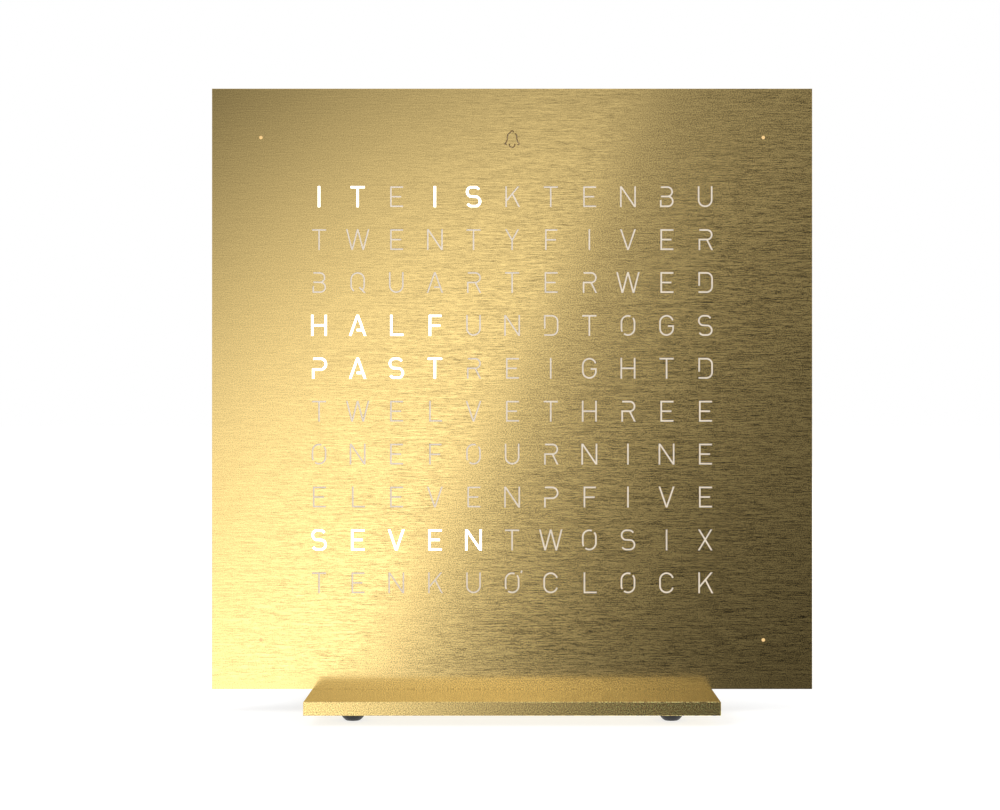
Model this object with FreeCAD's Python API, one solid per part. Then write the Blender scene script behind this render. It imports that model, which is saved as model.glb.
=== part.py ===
import FreeCAD, Part
import math
import os

# A free-standing word clock. A square metal cover carries a field of letters and is held by
# magnets on a shallow moulded housing. Behind every letter is a cell of a reflector grid with
# a lamp at its end. The housing stands on a metal base plate with four rubber feet.
#
# Millimetres, +Z up. The reader looks along +Y and has +X on the right. The origin is on the
# table, under the middle of the base plate. A "depth" runs backwards (+Y) from the cover's
# face, and a "rise" runs upwards (+Z) from the middle of that face.

# ---- driving sizes ---------------------------------------------------------------------------

# Front cover, which sets the size of the housing and of the field of letters
COVER_SIDE = 135.0
COVER_T = 2.0
COVER_OVERHANG = 4.95       # past the housing on all four sides
COVER_GAP = 0.06            # over the base plate
COVER_EDGE = 0.2            # broken edge
DOT_R = 0.4                 # minute dot in each corner

# Field of letters
COLUMNS = 11
ROWS = 10
PITCH_RATIO = 0.9           # letter to letter along a row, over row to row

# Reflector grid behind the letters
CELL_WALL = 1.4             # between two cells, at their wide front
LAMP_MARGIN = 1.2           # round a lamp, at a cell's narrow end
GRID_RIM = 1.0              # past the outer cells
GRID_DEPTH = 7.3
SHOULDER = 2.0              # rim that seats behind the housing's flange
SHOULDER_T = 1.5
DIFFUSER_T = 0.5

# What is bonded to the back of the cover
DOT_PAD = 3.0               # translucent pad behind a dot
ALARM_PAD = 6.0             # dark pad behind the alarm sign
INLAY_T = 0.3               # translucent sheet behind the letters
INLAY_MARGIN = 1.5          # past the letter field
KEEPER_SIDE = 8.0           # steel plate that meets a magnet
KEEPER_T = 0.6
PEG_SIDE = 2.4              # locating peg
PEG_L = 3.4
PEG_TIP = 0.5               # chamfer on its end
PEG_FOOT = 5.0

# Housing
WALL = 2.0
FLANGE_T = 2.0
CORNER_R = 4.0
SHOULDER_GAP = 0.85         # from the grid's shoulder to the bosses beside it
BOSS_SINK = 0.2             # how far the widest boss runs into the side wall
MAGNET_SIDE = 6.0
MAGNET_T = 3.0
POCKET_WALL = 1.15
POCKET_FLOOR = 1.0
PIPE_SIDE = 3.0             # light pipe behind a minute dot
PIPE_WALL = 1.45
LENS_LEDGE = 0.6            # that the smoked window behind the alarm sign lies on
WINDOW_WALL = 1.0
POST_SIDE = 6.5             # posts that carry the lamp board

# Steps along the line of bosses round the field, from each corner
DOT_TO_PEG = 12.0
PEG_TO_MAGNET = 10.5
DOT_TO_POST = 26.5

# Lamp board
BOARD_T = 1.6
BOARD_GAP = 1.0             # board edge to housing wall
LAMP_W = 2.8
LAMP_H = 3.5
LAMP_T = 0.8
LAMP_AIR = 0.3              # lamp to light pipe
CONTACT_W = 3.0             # spring blade that feels a tap on the cover
CONTACT_T = 0.3
CONTACT_FOOT = 2.5
CONTACT_AIR = 0.3

# Parts on the back of the board. Their places are shares of half the board's side.
CHIP_SIDE = 10.0
CHIP_T = 1.2
CHIP_PLACE = (0.0, 0.1)
DRIVER_W = 11.0
DRIVER_H = 6.2
DRIVER_T = 1.5
DRIVER_PLACE = (0.45, 0.17)
CHIP_EDGE = 0.3
CRYSTAL_W = 10.0
CRYSTAL_H = 4.4
CRYSTAL_T = 3.4
CRYSTAL_PLACE = (0.0, -0.15)
CELL_R = 10.0
CELL_T = 3.2
CELL_PLACE = (0.55, -0.32)
CELL_HOLDER_WALL = 1.2
CELL_HOLDER_FLOOR = 0.6
CELL_HOLDER_GATE = 9.0      # thumb gap in the holder's wall
CAPACITOR_W = 7.3
CAPACITOR_H = 4.3
CAPACITOR_T = 4.1
CAPACITOR_PLACE = (0.235, -0.52)
BUZZER_SIDE = 12.0
BUZZER_T = 4.3
BUZZER_HOLE_R = 1.2
BUZZER_HOLE_DEPTH = 1.5
BUZZER_PLACE = (-0.55, -0.32)
TOP_CLEARANCE = 0.3         # tallest part to the rear cover

# Push-buttons, in the order from the reader's left
BUTTON_NAMES = ["hour", "minute", "alarm", "light"]
BUTTON_PITCH = 13.0
BUTTON_DROP = 22.5          # below the upper line of bosses
BUTTON_R = 2.6
BUTTON_EDGE = 0.4
BUTTON_PROUD = 0.6
BUTTON_TRAVEL = 0.5
CAP_FLANGE = 1.0            # flange past the button's shaft
CAP_FLANGE_T = 0.9
CAP_PLAY = 0.1
SWITCH_SIDE = 6.0
SWITCH_T = 3.1
PLUNGER_SIDE = 2.6
PLUNGER_SUNK = 1.2
PLUNGER_PROUD = 0.8

# Power socket, an oval shell with a tongue in it
SOCKET_W = 9.0
SOCKET_H = 3.3
SOCKET_SHELL_T = 0.3
SOCKET_LIFT = 11.5          # above the lower line of bosses
SOCKET_BASE_T = 1.8
TONGUE_W = 6.7
TONGUE_T = 0.7
TONGUE_SHORT = 0.9          # tongue's end below the shell's mouth
SOCKET_RECESS_MARGIN = 3.0

# Rear cover
REAR_T = 2.0
REAR_EDGE = 1.0
LIP_T = 1.2
LIP_H = 1.5
RECESS_DEPTH = 0.6
RECESS_MARGIN = 3.5
RECESS_CORNER = 2.0
SLOT_COUNT = 7              # sound slots over the buzzer
SLOT_L = 12.0
SLOT_W = 1.4
SLOT_PITCH = 3.0
HOOK_W = 8.0                # hooks along its top edge
HOOK_T = 1.2
HOOK_CATCH = 0.8            # into the housing's wall

# Base plate and feet
BASE_W = 90.0
BASE_DEPTH = 60.0
BASE_T = 3.0
BASE_REACH = 20.0           # in front of the cover's face
BASE_EDGE = 0.1
FOOT_R = 2.9
FOOT_FLAT_R = 1.5
FOOT_H = 2.4
DOME_STEPS = 3
FOOT_INSET = 10.0
BLOCK_W = 60.0              # housing's block that stands on the base plate
BLOCK_SETBACK = 2.0
BLOCK_EDGE = 2.0
KEY_X = 22.0                # pegs under the block that key it to the base plate
KEY_SIDE = 4.0
KEY_L = 1.5

# Screws: shank radius, head radius, length
REAR_SCREW_R, REAR_SCREW_HEAD_R, REAR_SCREW_L = 1.25, 2.35, 12.0
BASE_SCREW_R, BASE_SCREW_HEAD_R, BASE_SCREW_L = 1.5, 2.9, 8.5

# Clearances
FIT = 0.15                  # one moulding in another, each side
SNUG = 0.05                 # bonded or pressed piece in its seat, each side
SLIDE = 0.2                 # piece that moves in a hole, each side
END_GAP = 0.4               # past the end of a peg or screw

# ---- places worked out from them -------------------------------------------------------------

FACE_Y = BASE_REACH - BASE_DEPTH / 2

BODY_SIDE = COVER_SIDE - 2 * COVER_OVERHANG
INNER_SIDE = BODY_SIDE - 2 * WALL
BOARD_SIDE = INNER_SIDE - 2 * BOARD_GAP

CELL_REAR_W = LAMP_W + 2 * LAMP_MARGIN
CELL_REAR_H = LAMP_H + 2 * LAMP_MARGIN
SHAFT_W = LAMP_H + 2 * LAMP_MARGIN                      # the alarm lamp lies on its side
SHAFT_H = LAMP_W + 2 * LAMP_MARGIN
LENS_W = SHAFT_W + 2 * LENS_LEDGE
LENS_H = SHAFT_H + 2 * LENS_LEDGE
WINDOW_W = LENS_W + 2 * (SNUG + WINDOW_WALL)
WINDOW_H = LENS_H + 2 * (SNUG + WINDOW_WALL)

POCKET_SIDE = MAGNET_SIDE + 2 * SNUG
MAGNET_BOSS = POCKET_SIDE + 2 * POCKET_WALL
PEG_HOLE = PEG_SIDE + 2 * SLIDE
PIPE_HOLE = PIPE_SIDE + 2 * SNUG
PIPE_TUBE = PIPE_HOLE + 2 * PIPE_WALL
BOSS_REACH = max(MAGNET_BOSS, PIPE_TUBE, POST_SIDE, WINDOW_H) / 2

# A line of bosses runs round inside the housing's walls, and the field takes the room within it.
BOSS_LINE = INNER_SIDE / 2 + BOSS_SINK - BOSS_REACH
OPENING_H = 2 * (BOSS_LINE - BOSS_REACH - SHOULDER_GAP - SHOULDER)
GRID_H = OPENING_H - 2 * FIT
FIELD_H = GRID_H - 2 * GRID_RIM
PITCH_Z = FIELD_H / ROWS
PITCH_X = PITCH_Z * PITCH_RATIO
FIELD_W = COLUMNS * PITCH_X
GRID_W = FIELD_W + 2 * GRID_RIM
OPENING_W = GRID_W + 2 * FIT

BASE_TOP = FOOT_H + BASE_T
FACE_Z = BASE_TOP + COVER_GAP + COVER_SIDE / 2          # middle of the face

FLANGE_FRONT = COVER_T + KEEPER_T
FLANGE_BACK = FLANGE_FRONT + FLANGE_T
GRID_FRONT = FLANGE_FRONT + DIFFUSER_T
BOARD_FRONT = GRID_FRONT + GRID_DEPTH
BOARD_BACK = BOARD_FRONT + BOARD_T
CELL_FLOOR = BOARD_BACK + CELL_HOLDER_FLOOR
BUTTON_STACK = SWITCH_T + PLUNGER_PROUD + CAP_FLANGE_T + CAP_PLAY
TALLEST = max(CELL_HOLDER_FLOOR + CELL_T, CAPACITOR_T, BUZZER_T, CRYSTAL_T) + TOP_CLEARANCE
REAR_FRONT = BOARD_BACK + max(BUTTON_STACK, TALLEST)
REAR_BACK = REAR_FRONT + REAR_T
RECESS_FLOOR = REAR_BACK - RECESS_DEPTH

PEG_RISE = BOSS_LINE - DOT_TO_PEG
MAGNET_RISE = PEG_RISE - PEG_TO_MAGNET
POST_OUT = BOSS_LINE - DOT_TO_POST
BUTTON_RISE = BOSS_LINE - BUTTON_DROP
SOCKET_RISE = SOCKET_LIFT - BOSS_LINE
CORNERS = [(sx, sz) for sx in (-1, 1) for sz in (-1, 1)]
DOTS = [(sx * BOSS_LINE, sz * BOSS_LINE) for sx, sz in CORNERS]
POSTS = [(sx * POST_OUT, sz * BOSS_LINE) for sx, sz in CORNERS]
SCREW = (0.0, -BOSS_LINE)
HOOKS = [(side * POST_OUT, BOSS_LINE) for side in (-1, 1)]
MAGNETS = [(sx * BOSS_LINE, sz * MAGNET_RISE) for sx, sz in CORNERS]
PEGS = [(-BOSS_LINE, PEG_RISE), (BOSS_LINE, -PEG_RISE)]
CONTACT = (BOSS_LINE, 0.0)
ALARM = (0.0, BOSS_LINE)
LETTERS = [
    ((c - (COLUMNS - 1) / 2) * PITCH_X, (r - (ROWS - 1) / 2) * PITCH_Z)
    for r in range(ROWS)
    for c in range(COLUMNS)
]
BUTTONS = [(i - (len(BUTTON_NAMES) - 1) / 2) * BUTTON_PITCH for i in range(len(BUTTON_NAMES))]


# ---- shape helpers ---------------------------------------------------------------------------

def at(x, rise, depth):
    """The point at that place on the clock's face, that deep."""
    return FreeCAD.Vector(x, FACE_Y + depth, FACE_Z + rise)


def slab(width, height, front, back, x=0.0, rise=0.0, corner=0.0):
    """An upright slab between two depths, centred on (x, rise), with its corners rounded."""
    box = Part.makeBox(width, back - front, height, at(x - width / 2, rise - height / 2, front))
    if corner > 0:
        box = box.makeFillet(corner, [e for e in box.Edges if runs_along(e, "y")])
    return box


def bars(side, front, back, places):
    """Square bars between two depths, one at each place."""
    return [slab(side, side, front, back, *place) for place in places]


def rod(radius, front, back, x=0.0, rise=0.0):
    """A cylinder that runs backwards from one depth to another."""
    return Part.makeCylinder(radius, back - front, at(x, rise, front), FreeCAD.Vector(0, 1, 0))


def oval(width, height, front, back, x=0.0, rise=0.0):
    """A slab with fully round ends, wider than it is high."""
    across = (width - height) / 2
    ends = [rod(height / 2, front, back, x + side * across, rise) for side in (-1, 1)]
    return slab(2 * across, height, front, back, x, rise).fuse(ends).removeSplitter()


def runs_along(edge, axis):
    """True for a straight edge along that axis."""
    ends = edge.Vertexes
    if len(ends) != 2:
        return False
    spans = {"x": "yz", "y": "xz", "z": "xy"}[axis]
    a, b = ends[0].Point, ends[1].Point
    return all(abs(getattr(a - b, other)) < 1e-6 for other in spans)


def edges_at_depth(shape, depth):
    """The edges that lie wholly at one depth."""
    y = FACE_Y + depth
    return [e for e in shape.Edges if abs(e.BoundBox.YMin - y) + abs(e.BoundBox.YMax - y) < 1e-6]


def frustum(front_w, front_h, back_w, back_h, front, back, x, rise):
    """A four-sided taper between a rectangle at one depth and another behind it."""
    rings = []
    for width, height, depth in ((front_w, front_h, front), (back_w, back_h, back)):
        corners = [(-1, -1), (1, -1), (1, 1), (-1, 1)]
        rings.append([at(x + sx * width / 2, rise + sz * height / 2, depth) for sx, sz in corners])
    near, far = rings
    outlines = [near, far] + [[near[i - 1], near[i], far[i], far[i - 1]] for i in range(len(near))]
    faces = [Part.Face(Part.makePolygon(outline + outline[:1])) for outline in outlines]
    return Part.makeSolid(Part.makeShell(faces))


def countersunk_screw(shank_r, head_r, length):
    """A screw that stands on its flat head at the origin and points along +Z."""
    cone = Part.makeCone(head_r, shank_r, head_r - shank_r)
    return cone.fuse(Part.makeCylinder(shank_r, length)).removeSplitter()


def countersunk_hole(shank_r, head_r, length):
    """The cutter for that screw, with room all round."""
    return countersunk_screw(shank_r + SNUG, head_r + SNUG, length + END_GAP)


def placed(shape, point, direction):
    """A copy whose origin is at the point and whose +Z points in the direction."""
    turn = FreeCAD.Rotation(FreeCAD.Vector(0, 0, 1), direction)
    moved = shape.copy()
    moved.Placement = FreeCAD.Placement(point, turn)
    return moved


FORWARDS = FreeCAD.Vector(0, -1, 0)
UPWARDS = FreeCAD.Vector(0, 0, 1)


# ---- front cover -----------------------------------------------------------------------------

def front_cover():
    """The square metal cover, pierced by the four minute dots."""
    plate = slab(COVER_SIDE, COVER_SIDE, 0, COVER_T)
    plate = plate.makeChamfer(COVER_EDGE, edges_at_depth(plate, 0))
    return plate.cut([rod(DOT_R, 0, COVER_T, x, rise) for x, rise in DOTS])


def letter_inlay():
    """The translucent sheet bonded behind the letters."""
    width, height = FIELD_W + 2 * INLAY_MARGIN, FIELD_H + 2 * INLAY_MARGIN
    return slab(width, height, COVER_T, COVER_T + INLAY_T)


def minute_dot_inlays():
    """A translucent pad behind each minute dot."""
    return bars(DOT_PAD, COVER_T, COVER_T + INLAY_T, DOTS)


def alarm_inlay():
    """The dark translucent pad behind the alarm sign, in front of its lamp."""
    return slab(ALARM_PAD, ALARM_PAD, COVER_T, COVER_T + INLAY_T, *ALARM)


def keeper_plates():
    """The steel plates that the magnets pull on."""
    return bars(KEEPER_SIDE, COVER_T, FLANGE_FRONT, MAGNETS)


def locating_pegs():
    """Two footed pegs that square the cover up on the housing."""
    end = FLANGE_FRONT + PEG_L
    pegs = []
    for place in PEGS:
        peg = slab(PEG_SIDE, PEG_SIDE, COVER_T, end, *place)
        peg = peg.makeChamfer(PEG_TIP, edges_at_depth(peg, end))
        pegs.append(peg.fuse(slab(PEG_FOOT, PEG_FOOT, COVER_T, FLANGE_FRONT, *place)))
    return pegs


# ---- housing ---------------------------------------------------------------------------------

def base_block():
    """The block under the housing, with two square pegs that key it to the base plate."""
    front, back = FLANGE_FRONT + BLOCK_SETBACK, REAR_FRONT
    top = FACE_Z - BODY_SIDE / 2 + WALL / 2
    corner = FreeCAD.Vector(-BLOCK_W / 2, FACE_Y + front, BASE_TOP)
    block = Part.makeBox(BLOCK_W, back - front, top - BASE_TOP, corner)
    block = block.makeChamfer(BLOCK_EDGE, [e for e in block.Edges if runs_along(e, "z")])
    return block.fuse(base_keys(0))


def base_keys(room):
    """The two pegs, or with some room their holes in the base plate."""
    middle = base_screw_point()
    side, length = KEY_SIDE + 2 * room, KEY_L + room
    keys = []
    for end in (-1, 1):
        x, y = end * KEY_X - side / 2, middle.y - side / 2
        keys.append(Part.makeBox(side, side, length, FreeCAD.Vector(x, y, BASE_TOP - length)))
    return keys


def housing_shell():
    """Side walls, front flange and block, with nothing cut in the flange but the grid's opening."""
    shell = slab(BODY_SIDE, BODY_SIDE, FLANGE_FRONT, REAR_FRONT, corner=CORNER_R)
    cavity = slab(INNER_SIDE, INNER_SIDE, FLANGE_BACK, REAR_FRONT, corner=CORNER_R - WALL)
    opening = slab(OPENING_W, OPENING_H, FLANGE_FRONT, FLANGE_BACK)
    return shell.fuse(base_block()).cut([cavity, opening])


def housing_bosses():
    """What stands up behind the flange: magnet, peg and board bosses, and light shafts."""
    pocket_end = FLANGE_FRONT + MAGNET_T + POCKET_FLOOR
    peg_end = FLANGE_FRONT + PEG_L + END_GAP + POCKET_FLOOR
    pipe_end = BOARD_FRONT - LAMP_T - LAMP_AIR
    bosses = bars(MAGNET_BOSS, FLANGE_BACK, pocket_end, MAGNETS)
    bosses += bars(MAGNET_BOSS, FLANGE_BACK, peg_end, PEGS)
    bosses += bars(PIPE_TUBE, FLANGE_BACK, pipe_end, DOTS)
    bosses += bars(POST_SIDE, FLANGE_BACK, BOARD_FRONT, POSTS + [SCREW])
    bosses.append(slab(WINDOW_W, WINDOW_H, FLANGE_BACK, BOARD_FRONT - FIT, *ALARM))
    return bosses


def housing_holes():
    """What is cut through the flange, down the bosses and into the upper wall."""
    screw_end = REAR_BACK - REAR_SCREW_L - END_GAP
    contact = (CONTACT_W + 2 * SLIDE, CONTACT_T + 2 * SLIDE)
    holes = bars(POCKET_SIDE, FLANGE_FRONT, FLANGE_FRONT + MAGNET_T, MAGNETS)
    holes += bars(PEG_HOLE, FLANGE_FRONT, FLANGE_FRONT + PEG_L + END_GAP, PEGS)
    holes += bars(PIPE_HOLE, FLANGE_FRONT, BOARD_FRONT, DOTS)
    holes.append(rod(REAR_SCREW_R + SNUG, screw_end, BOARD_FRONT, *SCREW))
    holes.append(slab(*contact, FLANGE_FRONT, FLANGE_BACK, *CONTACT))
    holes.append(slab(LENS_W + 2 * SNUG, LENS_H + 2 * SNUG, FLANGE_FRONT, FLANGE_BACK, *ALARM))
    holes.append(slab(SHAFT_W, SHAFT_H, FLANGE_BACK, BOARD_FRONT, *ALARM))
    return holes + hooks(FIT, HOOK_CATCH + FIT)


def base_screw_point():
    """Where the base plate's screw enters it from below."""
    return FreeCAD.Vector(0, FACE_Y + (FLANGE_FRONT + BLOCK_SETBACK + REAR_FRONT) / 2, FOOT_H)


def housing_frame():
    """The moulded housing: an open-backed tray with everything else fastened in it."""
    frame = housing_shell().fuse(housing_bosses())
    outside = slab(BODY_SIDE, BODY_SIDE, FLANGE_FRONT, REAR_FRONT, corner=CORNER_R)
    frame = frame.common(outside.fuse(base_block()))
    screw = Part.makeCylinder(BASE_SCREW_R + SNUG, BASE_SCREW_L + END_GAP)
    return frame.cut(housing_holes() + [placed(screw, base_screw_point(), UPWARDS)]).removeSplitter()


def cover_magnets():
    """The magnets in the flange that hold the cover."""
    return bars(MAGNET_SIDE, FLANGE_FRONT, FLANGE_FRONT + MAGNET_T, MAGNETS)


# ---- light path ------------------------------------------------------------------------------

def diffuser_sheet():
    """The opal sheet that lies on the grid, flush with the housing's flange."""
    return slab(GRID_W, GRID_H, FLANGE_FRONT, GRID_FRONT)


def light_grid():
    """The reflector grid: one tapered cell behind each letter, and a shoulder all round."""
    block = slab(GRID_W, GRID_H, GRID_FRONT, BOARD_FRONT)
    rim_w, rim_h = OPENING_W + 2 * SHOULDER, OPENING_H + 2 * SHOULDER
    shoulder = slab(rim_w, rim_h, FLANGE_BACK, FLANGE_BACK + SHOULDER_T)
    front = (PITCH_X - CELL_WALL, PITCH_Z - CELL_WALL)
    rear = (CELL_REAR_W, CELL_REAR_H)
    cells = [frustum(*front, *rear, GRID_FRONT, BOARD_FRONT, *place) for place in LETTERS]
    return block.fuse(shoulder).removeSplitter().cut(cells)


def minute_light_pipes():
    """Clear bars that carry light to the minute dots."""
    return bars(PIPE_SIDE, FLANGE_FRONT, BOARD_FRONT - LAMP_T - LAMP_AIR, DOTS)


def alarm_lens():
    """The smoked window behind the alarm sign."""
    return slab(LENS_W, LENS_H, FLANGE_FRONT, FLANGE_BACK, *ALARM)


# ---- lamp board ------------------------------------------------------------------------------

def led_board():
    """The board that carries every lamp on its front and the electronics on its back."""
    board = slab(BOARD_SIDE, BOARD_SIDE, BOARD_FRONT, BOARD_BACK, corner=CORNER_R - WALL)
    return board.cut(rod(REAR_SCREW_R + SLIDE, BOARD_FRONT, BOARD_BACK, *SCREW))


def lamps(places, width=LAMP_W, height=LAMP_H):
    """Surface-mounted lamps on the board's front."""
    return [slab(width, height, BOARD_FRONT - LAMP_T, BOARD_FRONT, *place) for place in places]


def touch_contact():
    """The footed spring blade that reaches through the flange towards the cover's back."""
    blade = slab(CONTACT_W, CONTACT_T, COVER_T + CONTACT_AIR, BOARD_FRONT, *CONTACT)
    foot = (CONTACT[0], CONTACT[1] + (CONTACT_FOOT - CONTACT_T) / 2)
    return blade.fuse(slab(CONTACT_W, CONTACT_FOOT, BOARD_FRONT - CONTACT_T, BOARD_FRONT, *foot))


def on_board(place, mirrored=False):
    """The (x, rise) of a place on the board, or of the one opposite it."""
    side = -1 if mirrored else 1
    return side * place[0] * BOARD_SIDE / 2, place[1] * BOARD_SIDE / 2


def chip(width, height, thick, place):
    """A flat package on the board's back, with its top edges sloped."""
    top = BOARD_BACK + thick
    body = slab(width, height, BOARD_BACK, top, *place)
    return body.makeChamfer(CHIP_EDGE, edges_at_depth(body, top))


def chip_pair(width, height, thick, place):
    """Two such packages, one each side of the middle."""
    return [chip(width, height, thick, on_board(place, mirrored)) for mirrored in (True, False)]


def microcontroller():
    """The square controller chip."""
    return chip(CHIP_SIDE, CHIP_SIDE, CHIP_T, on_board(CHIP_PLACE))


def lamp_drivers():
    """The two long driver chips, one each side."""
    return chip_pair(DRIVER_W, DRIVER_H, DRIVER_T, DRIVER_PLACE)


def quartz_crystal():
    """The timekeeping crystal in its can."""
    return chip(CRYSTAL_W, CRYSTAL_H, CRYSTAL_T, on_board(CRYSTAL_PLACE))


def cell_holder():
    """The open box that grips the backup cell."""
    x, rise = on_board(CELL_PLACE)
    well = 2 * (CELL_R + FIT)
    side, top = well + 2 * CELL_HOLDER_WALL, CELL_FLOOR + CELL_T
    box = slab(side, side, BOARD_BACK, top, x, rise)
    gate = slab(CELL_HOLDER_GATE, side / 2, CELL_FLOOR, top, x, rise - side / 4)
    return box.cut([slab(well, well, CELL_FLOOR, top, x, rise), gate])


def backup_cell():
    """The coin cell that keeps the time while the clock is unplugged."""
    return rod(CELL_R, CELL_FLOOR, CELL_FLOOR + CELL_T, *on_board(CELL_PLACE))


def buffer_capacitors():
    """Two brick capacitors that steady the supply to the lamps."""
    return chip_pair(CAPACITOR_W, CAPACITOR_H, CAPACITOR_T, CAPACITOR_PLACE)


def buzzer():
    """The alarm sounder, with its sound hole facing the slots in the rear cover."""
    place, top = on_board(BUZZER_PLACE), BOARD_BACK + BUZZER_T
    body = chip(BUZZER_SIDE, BUZZER_SIDE, BUZZER_T, place)
    return body.cut(rod(BUZZER_HOLE_R, top - BUZZER_HOLE_DEPTH, top, *place))


def socket_shell():
    """The power socket's drawn metal shell, flush with the recess in the rear cover."""
    inner_w, inner_h = SOCKET_W - 2 * SOCKET_SHELL_T, SOCKET_H - 2 * SOCKET_SHELL_T
    shell = oval(SOCKET_W, SOCKET_H, BOARD_BACK, RECESS_FLOOR, 0, SOCKET_RISE)
    return shell.cut(oval(inner_w, inner_h, BOARD_BACK, RECESS_FLOOR, 0, SOCKET_RISE))


def socket_insert():
    """The moulded base and contact tongue inside the shell."""
    gap = SOCKET_SHELL_T + SNUG
    width, height = SOCKET_W - 2 * gap, SOCKET_H - 2 * gap
    base = oval(width, height, BOARD_BACK, BOARD_BACK + SOCKET_BASE_T, 0, SOCKET_RISE)
    end = RECESS_FLOOR - TONGUE_SHORT
    return base.fuse(slab(TONGUE_W, TONGUE_T, BOARD_BACK, end, 0, SOCKET_RISE)).removeSplitter()


def tact_switches():
    """The four switch bodies, each with a well for its plunger."""
    top = BOARD_BACK + SWITCH_T
    bottom = top - PLUNGER_SUNK - BUTTON_TRAVEL - SNUG
    well = PLUNGER_SIDE + 2 * SNUG
    places = [(x, BUTTON_RISE) for x in BUTTONS]
    wells = bars(well, bottom, top, places)
    return [body.cut(cut) for body, cut in zip(bars(SWITCH_SIDE, BOARD_BACK, top, places), wells)]


def switch_plunger(x):
    """The square plunger between a switch and its button."""
    top = BOARD_BACK + SWITCH_T
    return slab(PLUNGER_SIDE, PLUNGER_SIDE, top - PLUNGER_SUNK, top + PLUNGER_PROUD, x, BUTTON_RISE)


def push_button(x):
    """A round button cap, kept in by the square flange behind the rear cover."""
    inner = BOARD_BACK + SWITCH_T + PLUNGER_PROUD
    outer = RECESS_FLOOR + BUTTON_PROUD
    cap = rod(BUTTON_R, inner, outer, x, BUTTON_RISE)
    cap = cap.makeChamfer(BUTTON_EDGE, edges_at_depth(cap, outer))
    side, top = 2 * (BUTTON_R + CAP_FLANGE), REAR_FRONT - CAP_PLAY
    return cap.fuse(slab(side, side, top - CAP_FLANGE_T, top, x, BUTTON_RISE)).removeSplitter()


# ---- rear cover ------------------------------------------------------------------------------

def hooks(room, catch):
    """Tongues along the top of the rear cover's lip that catch in the housing's upper wall."""
    width, middle = HOOK_W + 2 * room, REAR_FRONT - LIP_H / 2
    bottom, top = INNER_SIDE / 2 - FIT - LIP_T - room, INNER_SIDE / 2 + catch
    front, back = middle - HOOK_T / 2 - room, middle + HOOK_T / 2 + room
    return [slab(width, top - bottom, front, back, x, (top + bottom) / 2) for x, _ in HOOKS]


def rear_lip():
    """The rim of the rear cover that plugs into the housing."""
    outer, inner = INNER_SIDE - 2 * FIT, INNER_SIDE - 2 * (FIT + LIP_T)
    front = REAR_FRONT - LIP_H
    ring = slab(outer, outer, front, REAR_FRONT, corner=CORNER_R - WALL)
    return ring.cut(slab(inner, inner, front, REAR_FRONT))


def rear_recess(width, height, rise):
    """A shallow hollow in the back of the rear cover, with its corners cut off."""
    box = slab(width, height, RECESS_FLOOR, REAR_BACK, 0, rise)
    return box.makeChamfer(RECESS_CORNER, [e for e in box.Edges if runs_along(e, "y")])


def rear_openings():
    """Button holes and recess, socket mouth and recess, sound slots and screw seat."""
    height = 2 * (BUTTON_R + SLIDE + RECESS_MARGIN)
    width = (len(BUTTONS) - 1) * BUTTON_PITCH + height
    cuts = [rear_recess(width, height, BUTTON_RISE)]
    cuts += [rod(BUTTON_R + SLIDE, REAR_FRONT, REAR_BACK, x, BUTTON_RISE) for x in BUTTONS]
    mouth_w, mouth_h = SOCKET_W + 2 * SLIDE, SOCKET_H + 2 * SLIDE
    cuts.append(oval(mouth_w, mouth_h, REAR_FRONT, REAR_BACK, 0, SOCKET_RISE))
    margin = 2 * SOCKET_RECESS_MARGIN
    cuts.append(rear_recess(mouth_w + margin, mouth_h + margin, SOCKET_RISE))
    middle, rise = on_board(BUZZER_PLACE)
    for i in range(SLOT_COUNT):
        x = middle + (i - (SLOT_COUNT - 1) / 2) * SLOT_PITCH
        cuts.append(slab(SLOT_W, SLOT_L, REAR_FRONT, REAR_BACK, x, rise))
    hole = countersunk_hole(REAR_SCREW_R, REAR_SCREW_HEAD_R, REAR_SCREW_L)
    return cuts + [placed(hole, at(*SCREW, REAR_BACK), FORWARDS)]


def rear_cover():
    """The moulded back of the housing, with bosses that press the board onto its posts."""
    plate = slab(BODY_SIDE, BODY_SIDE, REAR_FRONT, REAR_BACK, corner=CORNER_R)
    plate = plate.makeChamfer(REAR_EDGE, edges_at_depth(plate, REAR_BACK))
    feet = bars(POST_SIDE, BOARD_BACK, REAR_FRONT, POSTS + [SCREW])
    inside = slab(INNER_SIDE - 2 * FIT, INNER_SIDE - 2 * FIT, BOARD_BACK, REAR_FRONT)
    feet = [foot.common(inside) for foot in feet]
    return plate.fuse([rear_lip()] + feet + hooks(0, HOOK_CATCH)).removeSplitter().cut(rear_openings())


# ---- screws, base plate and feet -------------------------------------------------------------

def rear_cover_screw():
    """The countersunk screw through the rear cover and the board into its post."""
    screw = countersunk_screw(REAR_SCREW_R, REAR_SCREW_HEAD_R, REAR_SCREW_L)
    return placed(screw, at(*SCREW, REAR_BACK), FORWARDS)


def base_screw():
    """The countersunk screw from below, through the base plate into the housing's block."""
    screw = countersunk_screw(BASE_SCREW_R, BASE_SCREW_HEAD_R, BASE_SCREW_L)
    return placed(screw, base_screw_point(), UPWARDS)


def base_plate():
    """The metal plate that the housing stands on."""
    corner = FreeCAD.Vector(-BASE_W / 2, -BASE_DEPTH / 2, FOOT_H)
    plate = Part.makeBox(BASE_W, BASE_DEPTH, BASE_T, corner)
    plate = plate.makeChamfer(BASE_EDGE, plate.Edges)
    hole = countersunk_hole(BASE_SCREW_R, BASE_SCREW_HEAD_R, BASE_SCREW_L)
    return plate.cut([placed(hole, base_screw_point(), UPWARDS)] + base_keys(FIT))


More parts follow.
